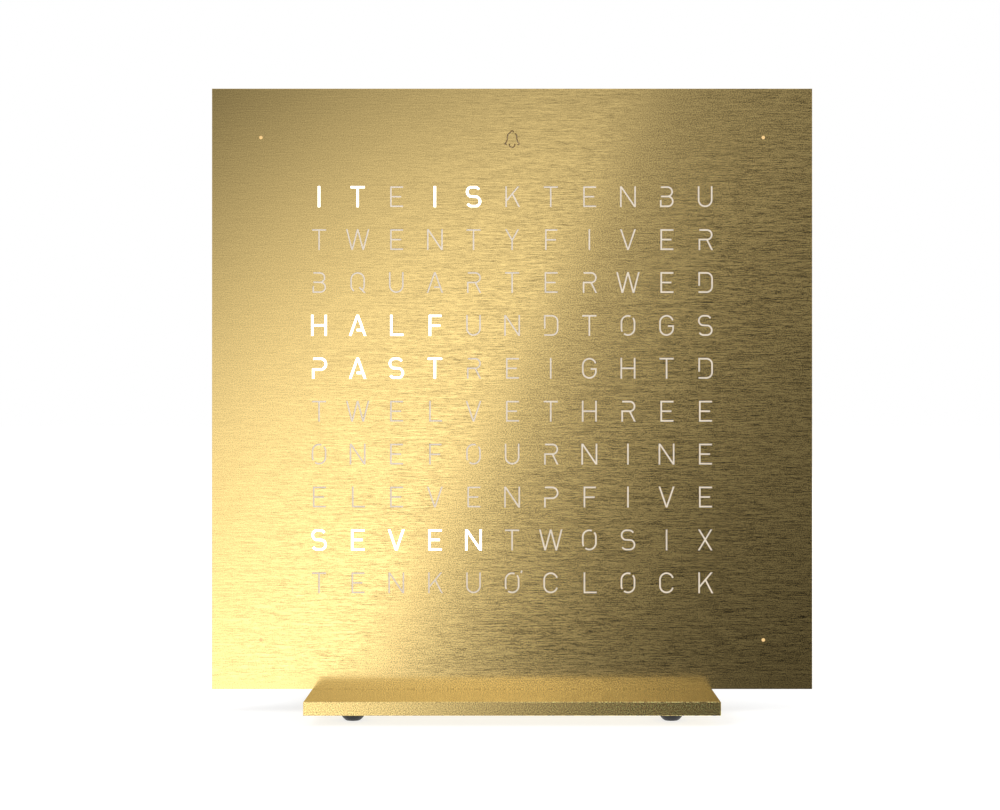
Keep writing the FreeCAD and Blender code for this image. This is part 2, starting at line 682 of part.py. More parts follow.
def rubber_foot():
    """A domed foot with a small flat, hanging below the XY plane."""
    centre = (FOOT_R**2 - FOOT_FLAT_R**2 - FOOT_H**2) / (2 * FOOT_H)     # height of the dome's centre
    dome_r = math.hypot(FOOT_R, centre)
    rim, flat = math.atan2(FOOT_R, centre), math.atan2(FOOT_FLAT_R, centre + FOOT_H)
    points = [FreeCAD.Vector(0, 0, -FOOT_H), FreeCAD.Vector(0, 0, 0)]
    for step in range(DOME_STEPS + 1):
        angle = rim + (flat - rim) * step / DOME_STEPS
        points.append(FreeCAD.Vector(dome_r * math.sin(angle), 0, centre - dome_r * math.cos(angle)))
    profile = Part.makePolygon(points + points[:1])
    return Part.Face(profile).revolve(points[1], UPWARDS, 360)


def rubber_feet():
    """Four feet under the corners of the base plate."""
    x, y = BASE_W / 2 - FOOT_INSET, BASE_DEPTH / 2 - FOOT_INSET
    foot = rubber_foot()
    return [placed(foot, FreeCAD.Vector(sx * x, sy * y, FOOT_H), UPWARDS) for sx, sy in CORNERS]


# ---- build -----------------------------------------------------------------------------------

def save(name, shape):
    """Writes one node. A list of solids becomes one node of separate solids."""
    if isinstance(shape, list):
        shape = Part.makeCompound(shape)
    shape.exportStep(os.path.join("parts", name + ".step"))


os.makedirs("parts", exist_ok=True)

for piece in (
    front_cover, letter_inlay, minute_dot_inlays, alarm_inlay, keeper_plates, locating_pegs,
    housing_frame, cover_magnets, diffuser_sheet, light_grid, minute_light_pipes, alarm_lens,
    led_board, touch_contact, microcontroller, lamp_drivers, quartz_crystal, cell_holder,
    backup_cell, buffer_capacitors, buzzer, socket_shell, socket_insert, tact_switches,
    rear_cover, rear_cover_screw, base_screw, base_plate, rubber_feet,
):
    save(piece.__name__, piece())

save("letter_lamps", lamps(LETTERS))
save("minute_lamps", lamps(DOTS))
save("alarm_lamp", lamps([ALARM], LAMP_H, LAMP_W))
for name, x in zip(BUTTON_NAMES, BUTTONS):
    save(name + "_button", push_button(x))
    save(name + "_switch_plunger", switch_plunger(x))
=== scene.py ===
import math
from functools import partial

import bmesh
import bpy
from mathutils import Matrix, Vector
from mathutils.geometry import delaunay_2d_cdt


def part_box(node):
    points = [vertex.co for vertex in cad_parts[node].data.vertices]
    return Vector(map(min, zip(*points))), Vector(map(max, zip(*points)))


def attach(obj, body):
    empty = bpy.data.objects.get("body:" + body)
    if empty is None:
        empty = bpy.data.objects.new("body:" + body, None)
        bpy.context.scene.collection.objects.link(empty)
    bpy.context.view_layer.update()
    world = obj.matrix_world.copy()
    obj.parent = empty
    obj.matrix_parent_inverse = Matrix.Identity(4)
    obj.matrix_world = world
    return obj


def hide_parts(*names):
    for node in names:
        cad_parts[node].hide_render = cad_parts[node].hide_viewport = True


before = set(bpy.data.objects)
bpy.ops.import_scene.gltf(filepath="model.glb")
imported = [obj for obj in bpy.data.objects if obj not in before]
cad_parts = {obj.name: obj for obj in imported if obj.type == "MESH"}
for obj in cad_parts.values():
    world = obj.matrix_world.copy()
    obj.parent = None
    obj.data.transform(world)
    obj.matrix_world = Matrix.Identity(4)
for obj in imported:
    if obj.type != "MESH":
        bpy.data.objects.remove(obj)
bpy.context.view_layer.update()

# The looks of a word clock: a brushed gold cover pierced by a field of letters, on a moulded
# housing and a gold base plate. The scene is in metres. The drawings of the letters and the
# grains of the finishes are in millimetres, and MM turns them into metres.

MM = 0.001

# ---- sizes -----------------------------------------------------------------------------------

# Letters, dots and alarm sign, in millimetres
CAP_HEIGHT = 4.7
STROKE = 0.38
TOP = CAP_HEIGHT / 2
BAR = TOP - STROKE / 2          # centre line of a level stroke at the top
OVERRUN = 0.08                  # share of the cap height that sloping strokes run on by
ARC_STEP = 11.0                 # degrees
SLOT_ROOM = 0.01                # from a raised letter to the side of its slot
LETTER_RECESS = 0.05            # from the cover's face to a letter's front
# The glowing film of a lit letter is wider than its slot: its rim on the face is painted glow round the
# letter.
LIT_GLOW_STROKE = 0.5                # a lit letter spreads past its slot
LIT_FILM = 0.02                 # and stands this far out of the face
LETTER_DROP = 0.22              # the field's middle, under the cover's
BELL_STROKE = 0.28
BELL_RECESS = 0.5
BELL_DROP = 0.39                # the sign's middle, under the middle of the pad behind it
DOT_R = 0.4
DOT_SIDES = 32

# Lit cells of the reflector grid, in millimetres
CELL_WIDTH, CELL_HEIGHT = 6.6, 7.4

# Metres
COVER_EDGE = 0.04 * MM          # broken edge round the face
COVER_FOOT = 0.05 * MM          # how far the cover reaches down past its solid, to the base plate
SLOT_PAST = 1.0 * MM            # how far the cutters stand out of the cover
ROOT = 0.1 * MM                 # how deep a raised letter starts in the sheet behind it
LAMP_WIDTH, LAMP_HEIGHT = 2.8 * MM, 3.5 * MM    # the package of a lamp behind a letter or a dot
CELL_PANE = 0.05 * MM           # thickness of a lit cell's pane

FOOT_R, FOOT_FLAT_R = 2.9 * MM, 1.5 * MM
DOME_STEPS = 12
FOOT_SIDES = 48

# Screws: radius of the shank and the head, length, and radius and depth of the socket
BASE_SCREW = (1.5 * MM, 2.9 * MM, 8.5 * MM, 1.15 * MM, 1.1 * MM)
REAR_SCREW = (1.25 * MM, 2.35 * MM, 12.0 * MM, 0.9 * MM, 0.9 * MM)
SCREW_RIM = 0.12 * MM           # bevel round the head
SCREW_THREAD = 0.2 * MM         # depth of the thread, and half its pitch
SCREW_SIDES, SOCKET_SIDES = 40, 6

# The letters of each row. The small o stands for an O with an apostrophe.
LETTER_ROWS = [
    "ITEISKTENBU",
    "TWENTYFIVER",
    "BQUARTERWED",
    "HALFUNDTOGS",
    "PASTREIGHTD",
    "TWELVETHREE",
    "ONEFOURNINE",
    "ELEVENPFIVE",
    "SEVENTWOSIX",
    "TENKUoCLOCK",
]
# The cells that are lit: row, first and last column
LIT_RUNS = [(0, 0, 1), (0, 3, 4), (3, 0, 3), (4, 0, 3), (8, 0, 4)]

# ---- places taken from the frame -------------------------------------------------------------

COVER_LO, COVER_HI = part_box("front_cover")
FACE_Y, COVER_BACK = COVER_LO.y, COVER_HI.y
MIDDLE = Vector((0.0, 0.0, (COVER_LO.z + COVER_HI.z) / 2))
PADS_LO, PADS_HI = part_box("minute_dot_inlays")
LAMPS_LO, LAMPS_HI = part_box("letter_lamps")
ALARM_LO, ALARM_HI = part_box("alarm_lens")
ALARM_RISE = (ALARM_LO.z + ALARM_HI.z) / 2 - MIDDLE.z - BELL_DROP * MM
DIFFUSER_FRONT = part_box("diffuser_sheet")[0].y

PITCH_X = (LAMPS_HI.x - LAMPS_LO.x - LAMP_WIDTH) / (len(LETTER_ROWS[0]) - 1)
PITCH_Z = (LAMPS_HI.z - LAMPS_LO.z - LAMP_HEIGHT) / (len(LETTER_ROWS) - 1)
DOT_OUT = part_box("minute_lamps")[1].x - LAMP_WIDTH / 2


# ---- drawings of the letters -----------------------------------------------------------------

def arc(x, z, radius, start, end):
    """Points along part of a circle, from one angle in degrees to another."""
    steps = max(2, round(abs(end - start) / ARC_STEP))
    turns = [math.radians(start + (end - start) * i / steps) for i in range(steps + 1)]
    return [(x + radius * math.cos(turn), z + radius * math.sin(turn)) for turn in turns]


def slant(top_x, foot_x):
    """A sloping stroke of full height, run on past both ends for the trim to cut level."""
    lean, rise = (foot_x - top_x) * OVERRUN, CAP_HEIGHT * OVERRUN
    return [(top_x - lean, TOP + rise), (foot_x + lean, -TOP - rise)]


def leg(x, z, foot_x):
    """The lower part of a sloping stroke, from a point down past the foot."""
    lean, rise = (foot_x - x) * OVERRUN, (z + TOP) * OVERRUN
    return [(x, z), (foot_x + lean, -TOP - rise)]


def letter_lines():
    """The centre lines of the strokes of each letter. Every counter stays open, as in a stencil."""
    round_r, bowl_r = 1.47, BAR / 2
    side = BAR - round_r
    u_turn = arc(0, -side, round_r, 180, 360)
    cap_arc = arc(0, side, round_r, 180, 68)
    lines = {
        "A": [slant(0, -1.68), slant(0, 1.68), [(-0.2, -1.05), (1.25, -1.05)]],
        "B": [
            [(-1.3, -0.75), (-1.3, -BAR), (0.3, -BAR)] + arc(0.3, -1.05, 1.1, -90, 90) + [(-1.3, 0.05)],
            [(0.2, 0.05)] + arc(0.2, 1.1, 1.05, -90, 90) + [(-1.3, BAR)],
        ],
        "C": [arc(0, side, round_r, 16, 180) + arc(0, -side, round_r, 180, 344)],
        "D": [
            [(-1.35, -0.75), (-1.35, BAR)] + arc(0.3, BAR - 1.25, 1.25, 90, 0)
            + arc(0.3, 1.25 - BAR, 1.25, 0, -90) + [(-1.5, -BAR)],
        ],
        "E": [[(1.55, BAR), (-1.2, BAR), (-1.2, -BAR), (1.55, -BAR)], [(-1.2, 0), (1.1, 0)]],
        "F": [[(1.5, BAR), (-1.1, BAR), (-1.1, -TOP)], [(-1.1, -0.05), (1.2, -0.05)]],
        "G": [
            arc(0, side, round_r, 18, 180) + arc(0, -side, round_r, 180, 360)
            + [(round_r, -0.15), (0.3, -0.15)],
        ],
        "H": [[(-1.5, TOP), (-1.5, -TOP)], [(1.5, TOP), (1.5, -TOP)], [(-1.5, 0), (1.5, 0)]],
        "I": [[(0, TOP), (0, -TOP)]],
        "K": [[(-1.35, TOP), (-1.35, -TOP)], [(1.6, TOP + 0.18), (-1.35, -1.0)], leg(0.05, 0.68, 1.62)],
        "L": [[(-1.1, TOP), (-1.1, -BAR), (1.65, -BAR)]],
        "N": [[(-1.6, TOP), (-1.6, -TOP)], [(1.6, TOP), (1.6, -TOP)], slant(-1.6, 1.6)],
        "O": [
            arc(0, -side, round_r, 209, 180) + cap_arc,
            arc(0, side, round_r, 42, 0) + arc(0, -side, round_r, 360, 232),
        ],
        "P": [
            [(-1.3, BAR)] + arc(0.33, BAR - 1.22, 1.22, 90, -90) + [(-1.3, BAR - 2.44), (-1.3, -TOP)],
        ],
        "Q": [
            arc(0, -side, round_r, 236, 180) + arc(0, side, round_r, 180, 0)
            + arc(0, -side, round_r, 360, 316),
            leg(0.35, -1.05, 1.62),
        ],
        "R": [
            [(-1.3, BAR)] + arc(0.4, bowl_r, bowl_r, 90, -90) + [(-1.3, 0), (-1.3, -TOP)],
            leg(0.4, 0, 1.55),
        ],
        "S": [
            arc(0.25, bowl_r, bowl_r, 30, 90) + arc(-0.35, bowl_r, bowl_r, 90, 255)
            + arc(0.4, -bowl_r, bowl_r, 75, -90) + arc(-0.35, -bowl_r, bowl_r, 270, 210),
        ],
        "T": [[(-1.6, BAR), (1.6, BAR)], [(0, BAR), (0, -TOP)]],
        "U": [[(-round_r, TOP)] + u_turn + [(round_r, TOP)]],
        "V": [slant(-1.6, 0), slant(1.6, 0)],
        "W": [slant(-2.45, -1.25), slant(0, -1.25), slant(0, 1.25), slant(2.45, 1.25)],
        "X": [slant(-1.4, 1.45), slant(1.4, -1.45)],
        "Y": [[(-1.6, TOP + 0.35), (0, -0.15), (1.6, TOP + 0.35)], [(0, -0.15), (0, -TOP)]],
    }
    lines["o"] = lines["O"]
    return lines


APOSTROPHE = [(2.2, 2.75), (2.02, 2.2)]

# The alarm sign: the bell's dome and left side, its right side, and the clapper under it
BELL_LINES = [
    arc(0, 1.62, 0.27, -20, 170) + [(-0.55, 1.38)] + arc(-0.02, 0.55, 1.02, 128, 178)
    + [(-1.1, -0.15), (-1.27, -0.6), (-1.62, -1.03), (-1.22, -1.3)],
    arc(0.02, 0.55, 1.02, 48, 2) + [(1.1, -0.15), (1.27, -0.6), (1.62, -1.03), (1.22, -1.3)],
    [(-0.62, -1.0)] + arc(0, -1.2, 0.62, 186, 352) + [(0.62, -1.0)],
]


# ---- flat shapes and solid pieces ------------------------------------------------------------

def ribbon(line, width):
    """The outline of a flat-ended stroke along a line, with mitred corners."""
    left, right = [], []
    for i, (x, z) in enumerate(line):
        before, after = line[max(i - 1, 0)], line[min(i + 1, len(line) - 1)]
        ahead = Vector((after[0] - x, after[1] - z)) if i < len(line) - 1 else None
        behind = Vector((x - before[0], z - before[1])) if i > 0 else ahead
        ahead = ahead or behind
        ahead, behind = ahead.normalized(), behind.normalized()
        across = Vector((-ahead.y - behind.y, ahead.x + behind.x))
        across *= width / 2 / (1 + ahead.dot(behind))
        left.append((x + across.x, z + across.y))
        right.append((x - across.x, z - across.y))
    return right + left[::-1]


def trimmed(outline):
    """The part of an outline between the foot and the cap height."""
    for sign in (1, -1):
        kept = []
        for i, (x, z) in enumerate(outline):
            last_x, last_z = outline[i - 1]
            inside, was_inside = sign * z <= TOP, sign * last_z <= TOP
            if inside != was_inside:
                share = (sign * TOP - last_z) / (z - last_z)
                kept.append((last_x + (x - last_x) * share, sign * TOP))
            if inside:
                kept.append((x, z))
        outline = kept
    return outline


TRIANGLES_INSIDE, WELD = 1, 1e-5    # what delaunay_2d_cdt returns, and how near it joins points


def united(outlines):
    """The corners and triangles of the area that the outlines cover together."""
    corners, faces = [], []
    for outline in outlines:
        pairs = zip(outline, outline[1:] + outline[:1])
        if sum(a[0] * b[1] - b[0] * a[1] for a, b in pairs) < 0:
            outline = outline[::-1]
        faces.append(list(range(len(corners), len(corners) + len(outline))))
        corners += outline
    corners = [Vector(corner) for corner in corners]
    parts = delaunay_2d_cdt(corners, [], faces, TRIANGLES_INSIDE, WELD)
    corners, _, triangles, _, _, sources = parts
    return corners, [triangle for triangle, source in zip(triangles, sources) if source]


def prism(name, outlines, front, back):
    """A closed mesh of a flat shape in millimetres, between two depths in metres."""
    corners, triangles = united(outlines)
    count = len(corners)
    points = [(x * MM, y, z * MM) for y in (front, back) for x, z in corners]
    sides = {(t[i - 1], t[i]) for t in triangles for i in range(len(t))}
    faces = [list(t) for t in triangles]
    faces += [[i + count for i in reversed(t)] for t in triangles]
    faces += [[a, a + count, b + count, b] for a, b in sides if (b, a) not in sides]
    mesh = bpy.data.meshes.new(name)
    mesh.from_pydata(points, [], faces)
    return mesh


def letter_outlines(letter, width):
    """The outlines of one letter's strokes."""
    outlines = [trimmed(ribbon(line, width)) for line in LINES[letter]]
    if letter == "o":
        outlines.append(ribbon(APOSTROPHE, width))
    return outlines


def circle(radius, sides):
    """The outline of a circle round the middle."""
    turns = [2 * math.pi * i / sides for i in range(sides)]
    return [(radius * math.cos(turn), radius * math.sin(turn)) for turn in turns]


def rectangle(width, height):
    """The outline of a rectangle round the middle."""
    x, z = width / 2, height / 2
    return [(-x, -z), (x, -z), (x, z), (-x, z)]


def stand(obj):
    """Puts an object into the scene."""
    bpy.context.scene.collection.objects.link(obj)
    return obj


def kit(name, meshes):
    """A collection with one object for each mesh, in that order."""
    collection = bpy.data.collections.new(name)
    for i, mesh in enumerate(meshes):
        collection.objects.link(bpy.data.objects.new(f"{name}_{i:02d}", mesh))
    return collection


def field_tree():
    """Geometry nodes that set one piece of a kit on each point of a field."""
    tree = bpy.data.node_groups.new("field", "GeometryNodeTree")
    sockets = {"Points": "Geometry", "Kit": "Collection", "Pitch": "Vector", "Finish": "Material"}
    for name, kind in sockets.items():
        tree.interface.new_socket(name, in_out="INPUT", socket_type="NodeSocket" + kind)
    tree.interface.new_socket("Placed", in_out="OUTPUT", socket_type="NodeSocketGeometry")
    new, link = tree.nodes.new, tree.links.new
    given, placed = new("NodeGroupInput"), new("NodeGroupOutput")
    position, spread = new("GeometryNodeInputPosition"), new("ShaderNodeVectorMath")
    spread.operation = "MULTIPLY"
    move = new("GeometryNodeSetPosition")
    pieces = new("GeometryNodeCollectionInfo")
    pieces.inputs["Separate Children"].default_value = True
    pieces.inputs["Reset Children"].default_value = True
    which = new("GeometryNodeInputNamedAttribute")
    which.data_type = "INT"
    which.inputs["Name"].default_value = "piece"
    instance = new("GeometryNodeInstanceOnPoints")
    instance.inputs["Pick Instance"].default_value = True
    realize, coat = new("GeometryNodeRealizeInstances"), new("GeometryNodeSetMaterial")
    link(position.outputs[0], spread.inputs[0])
    link(given.outputs["Pitch"], spread.inputs[1])
    link(given.outputs["Points"], move.inputs["Geometry"])
    link(spread.outputs[0], move.inputs["Position"])
    link(given.outputs["Kit"], pieces.inputs["Collection"])
    link(move.outputs[0], instance.inputs["Points"])
    link(pieces.outputs[0], instance.inputs["Instance"])
    link(which.outputs["Attribute"], instance.inputs["Instance Index"])
    link(instance.outputs[0], realize.inputs[0])
    link(realize.outputs[0], coat.inputs["Geometry"])
    link(given.outputs["Finish"], coat.inputs["Material"])
    link(coat.outputs[0], placed.inputs[0])
    return tree


def field(name, places, pieces, pitch, centre, material):
    """One mesh of kit pieces set round a centre. A place is x, y, z in pitches and a piece's number."""
    points = bpy.data.meshes.new(name + "_points")
    points.from_pydata([place[:3] for place in places], [], [])
    numbers = points.attributes.new("piece", "INT", "POINT")
    numbers.data.foreach_set("value", [place[3] for place in places])
    holder = stand(bpy.data.objects.new(name + "_points", points))
    modifier = holder.modifiers.new("field", "NODES")
    modifier.node_group = FIELD
    inputs = {"Kit": pieces, "Pitch": pitch, "Finish": material}
    for socket in FIELD.interface.items_tree:
        if socket.in_out == "INPUT" and socket.name in inputs:
            modifier[socket.identifier] = inputs[socket.name]
    ready = holder.evaluated_get(bpy.context.evaluated_depsgraph_get())
    mesh = bpy.data.meshes.new_from_object(ready)
    bpy.data.objects.remove(holder)
    mesh.transform(Matrix.Translation(centre))
    return mesh


def piece(name, mesh, body, material, stands_for=()):
    """A finished piece in the scene, riding on its body in place of the nodes that it stands for."""
    obj = stand(bpy.data.objects.new(name, mesh))
    mesh.name = name
    mesh.materials.clear()
    mesh.materials.append(material)
    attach(obj, body)
    if stands_for:
        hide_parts(*stands_for)


def joined(meshes):
    """One mesh made of several."""
    work = bmesh.new()
    for mesh in meshes:
        work.from_mesh(mesh)
    whole = bpy.data.meshes.new("joined")
    work.to_mesh(whole)
    work.free()
    return whole


def box_mesh(low, high):
    """A closed box."""
    work = bmesh.new()
    bmesh.ops.create_cube(work, size=1.0)
    for vert in work.verts:
        for axis in range(3):
            vert.co[axis] = high[axis] if vert.co[axis] > 0 else low[axis]
    mesh = bpy.data.meshes.new("box")
    work.to_mesh(mesh)
    work.free()
    return mesh


def turned(profile, sides):
    """A closed mesh of a profile of (radius, height) points turned round the Z axis."""
    work = bmesh.new()
    rings = []
    for radius, height in profile:
        if radius == 0:
            rings.append([work.verts.new((0, 0, height))] * sides)
        else:
            rings.append([work.verts.new((x, y, height)) for x, y in circle(radius, sides)])
    for low, high in zip(rings, rings[1:]):
        for i in range(sides):
            corners = []
            for vert in (low[i - 1], low[i], high[i], high[i - 1]):
                if vert not in corners:
                    corners.append(vert)
            if len(corners) > 2:
                work.faces.new(corners)
    bmesh.ops.recalc_face_normals(work, faces=work.faces)
    mesh = bpy.data.meshes.new("turned")
    work.to_mesh(mesh)
    work.free()
    return mesh


def cut(mesh, cutter):
    """The mesh with the cutter's volume taken out."""
    block, tool = (stand(bpy.data.objects.new("cutting", m)) for m in (mesh, cutter))
    modifier = block.modifiers.new("cut", "BOOLEAN")
    modifier.operation = "DIFFERENCE"
    modifier.solver = "EXACT"
    modifier.object = tool
    ready = block.evaluated_get(bpy.context.evaluated_depsgraph_get())
    result = bpy.data.meshes.new_from_object(ready)
    for obj in (block, tool):
        bpy.data.objects.remove(obj)
    return result


# ---- finishes --------------------------------------------------------------------------------

GRAIN_MIDDLE, GRAIN_RANGE = 0.5, (0.3, 0.7)     # the values that a grain usually takes
GRAIN_ROUGHNESS = 0.55
MIX_DARK, MIX_LIGHT, MIXED = 6, 7, 2            # the colour sockets of a Mix node

GOLD = (0.72, 0.531, 0.209)

# The cover's brush marks and speckle, in millimetres
MARK_LENGTHS = (4.2, 1.2)
MARK_HEIGHT = 0.13
MARK_DEPTH = 0.003
MARK_CONTRAST = 3.1
BRIGHTEST_MARK = 0.45
SPECKLE_SIZE = (0.2, 0.2, 0.2)
SPECKLE_CONTRAST = 3.0
COVER_ROUGHNESS = 0.06

# How strong the marks and the speckle are, by millimetres past the mirrored lamp's edge. The marks and
# speckle are the metal's own, but this strength is painted shade: marks that are mostly dark, strongest
# where the mirrored lamp's light falls off.
MARK_AND_SHADE_LEVELS = [
    (-60, 0.08), (-45, 0.2), (-30, 0.42), (-8, 0.6), (-1, 0.18), (7, 0.42), (24, 0.9), (48, 1.0),
]
SPECKLE_AND_SHADE_LEVELS = [(-60, 0.3), (-15, 0.33), (-5, 0.42), (3, 0.7), (48, 1.1)]
# and how strong the marks are, by millimetres above the cover's middle
HEIGHT_LEVELS = [(-66.5, 0.16), (-64, 1.0), (30, 1.0), (67.5, 0.8)]

# The cover's foot, which mirrors the base plate, is a little rougher and calmer
FOOT_ROUGHER = 0.08
FOOT_CALMER = 0.3
FOOT_LEVELS = [(-65.5, 1.0), (-61, 0.0)]    # by millimetres above the cover's middle
FOOT_ENDS = [(44, 1.0), (50, 0.0)]          # by millimetres to either side of it

# The base plate's speckle: its contrast by millimetres from the plate's left end
PLATE_CONTRAST = 2.6
PLATE_DEPTH = 0.0006
PLATE_EDGE_LEVELS = [(0, 0.85), (30, 0.76), (50, 0.95), (90, 2.1)]
PLATE_EDGE_MOST = 2.0
PLATE_EDGE_ROUGHNESS = 0.17
# and on its top, which starts this many millimetres behind the front
PLATE_TOP_START = 0.2
PLATE_TOP_MOST = 0.8
# the top's colour is made lighter by this share, a painted reflection of the cover's face
PLATE_TOP_PAINTED_SHEEN = 0.35
PLATE_TOP_ROUGHNESS = 0.12

# Mouldings, plated metal and lit surfaces: grains in millimetres, and how far the colour, the
# roughness and the light wander with them
CLOUD = (9.0, 9.0, 9.0)
MOULDED_TONES, MOULDED_SPREAD = (0.93, 1.07), (-0.06, 0.06)
PLATED_TONES, PLATED_SPREAD = (0.92, 1.04), (-0.05, 0.08)
PLATED_DEPTH = 0.001
GLOW_CLOUD = (1.5, 1.5, 1.5)
GLOW_ROUGHNESS, GLOW_SPREAD = 0.6, (0.94, 1.06)
FLOW = (1.2, 0.4, 1.2)

# The circuit board: the lacquer, and the copper under it in tracks per millimetre
LACQUER = (0.02, 0.13, 0.06)
LACQUER_DARK, LACQUER_LIGHT, TRACK_COLOUR = (0.016, 0.11, 0.05), (0.022, 0.14, 0.06), (0.05, 0.24, 0.09)
TRACK_DENSITY, TRACK_WIDTH, TRACK_DEPTH = 0.4, 0.04, 0.02

# The edge of the lamp that the face mirrors, in radians and in millimetres from the face's middle
EDGE_LEAN = 0.46
EDGE_SHIFT = -1.6
EDGE_BOW = -0.00005


def finish(name, colour, metallic=0.0, roughness=0.5):
    """A new material with a plain surface, to which the grains below are added."""
    material = bpy.data.materials.new(name)
    material.use_nodes = True
    surface = surface_of(material)
    surface.inputs["Base Color"].default_value = (*colour, 1.0)
    surface.inputs["Metallic"].default_value = metallic
    surface.inputs["Roughness"].default_value = roughness
    return material


def surface_of(material):
    """The shader that the grains of a finish are joined to."""
    return material.node_tree.nodes["Principled BSDF"]


def grain(material, size, detail=3.0):
    """Noise whose grains are that long along x, y and z, in millimetres."""
    nodes, links = material.node_tree.nodes, material.node_tree.links
    place, fit = nodes.new("ShaderNodeTexCoord"), nodes.new("ShaderNodeMapping")
    fit.inputs["Scale"].default_value = [1 / (length * MM) for length in size]
    noise = nodes.new("ShaderNodeTexNoise")
    noise.inputs["Scale"].default_value = 1.0
    noise.inputs["Detail"].default_value = detail
    noise.inputs["Roughness"].default_value = GRAIN_ROUGHNESS
    links.new(place.outputs["Object"], fit.inputs["Vector"])
    links.new(fit.outputs[0], noise.inputs["Vector"])
    return noise.outputs[0]


def arithmetic(owner, operation, *values):
    """One sum on sockets or numbers, in the nodes of a material or of the world."""
    node = owner.node_tree.nodes.new("ShaderNodeMath")
    node.operation = operation
    for i, value in enumerate(values):
        if isinstance(value, (int, float)):
            node.inputs[i].default_value = value
        else:
            owner.node_tree.links.new(value, node.inputs[i])
    return node.outputs[0]


def between(material, grains, low, high):
    """The grains' usual range, spread from one value to another."""
    node = material.node_tree.nodes.new("ShaderNodeMapRange")
    node.inputs["From Min"].default_value, node.inputs["From Max"].default_value = GRAIN_RANGE
    node.inputs["To Min"].default_value = low
    node.inputs["To Max"].default_value = high
    material.node_tree.links.new(grains, node.inputs["Value"])
    return node.outputs[0]


def shade(material, grains, colour, tones):
    """Lets the colour wander between two of its tones with the grains."""
    links = material.node_tree.links
    node = material.node_tree.nodes.new("ShaderNodeMix")
    node.data_type = "RGBA"
    for socket, tone in zip((MIX_DARK, MIX_LIGHT), tones):
        node.inputs[socket].default_value = (*[part * tone for part in colour], 1.0)
    links.new(between(material, grains, 0.0, 1.0), node.inputs[0])
    links.new(node.outputs[MIXED], surface_of(material).inputs["Base Color"])


def roughen(material, grains, roughness, spread):
    """Lets the roughness wander with the grains, by a step down and a step up."""
    links = material.node_tree.links
    wander = between(material, grains, roughness + spread[0], roughness + spread[1])
    links.new(wander, surface_of(material).inputs["Roughness"])


def relief(material, grains, depth):
    """Raises the surface with the grains, by a depth in millimetres."""
    bump = material.node_tree.nodes.new("ShaderNodeBump")
    bump.inputs["Strength"].default_value = 1.0
    bump.inputs["Distance"].default_value = depth * MM
    material.node_tree.links.new(grains, bump.inputs["Height"])
    material.node_tree.links.new(bump.outputs[0], surface_of(material).inputs["Normal"])


def past_edge(material, x, z):
    """How far a point lies past the lamp's edge, which leans and bows a little."""
    bow = arithmetic(material, "MULTIPLY_ADD", z, EDGE_BOW, -math.sin(EDGE_LEAN))
    level = arithmetic(material, "MULTIPLY_ADD", x, math.cos(EDGE_LEAN), EDGE_SHIFT)
    return arithmetic(material, "MULTIPLY_ADD", z, bow, level)


def tint(material, colour, tone):
    """The colour, made darker or lighter by a socket whose plain value is 1."""
    node = material.node_tree.nodes.new("ShaderNodeVectorMath")
    node.operation = "SCALE"
    node.inputs[0].default_value = colour
    material.node_tree.links.new(tone, node.inputs["Scale"])
    material.node_tree.links.new(node.outputs[0], surface_of(material).inputs["Base Color"])


def axes(material, scale, shift):
    """The x, y and z of a point, scaled and then shifted."""
    nodes, links = material.node_tree.nodes, material.node_tree.links
    place, fit, split = (nodes.new("ShaderNode" + kind) for kind in ("TexCoord", "Mapping", "SeparateXYZ"))
    fit.inputs["Scale"].default_value = (scale, scale, scale)
    fit.inputs["Location"].default_value = shift
    links.new(place.outputs["Object"], fit.inputs["Vector"])
    links.new(fit.outputs[0], split.inputs[0])
    return split.outputs


def millimetres(material, middle):
    """The x, y and z of a point from a middle, in millimetres."""
    return axes(material, 1 / MM, -middle / MM)


def ramp(material, value, stops):
    """A level that follows a value through the stops, each a value and its level."""
    nodes, links = material.node_tree.nodes, material.node_tree.links
    low, high = stops[0][0], stops[-1][0]
    share, levels = nodes.new("ShaderNodeMapRange"), nodes.new("ShaderNodeValToRGB")
    share.inputs["From Min"].default_value = low
    share.inputs["From Max"].default_value = high
    links.new(value, share.inputs["Value"])
    links.new(share.outputs[0], levels.inputs[0])
    elements = levels.color_ramp.elements
    while len(elements) < len(stops):
        elements.new(1.0)
    for element, (at, level) in zip(elements, stops):
        element.position = (at - low) / (high - low)
        element.color = (level, level, level, 1.0)
    return levels.outputs["Color"]


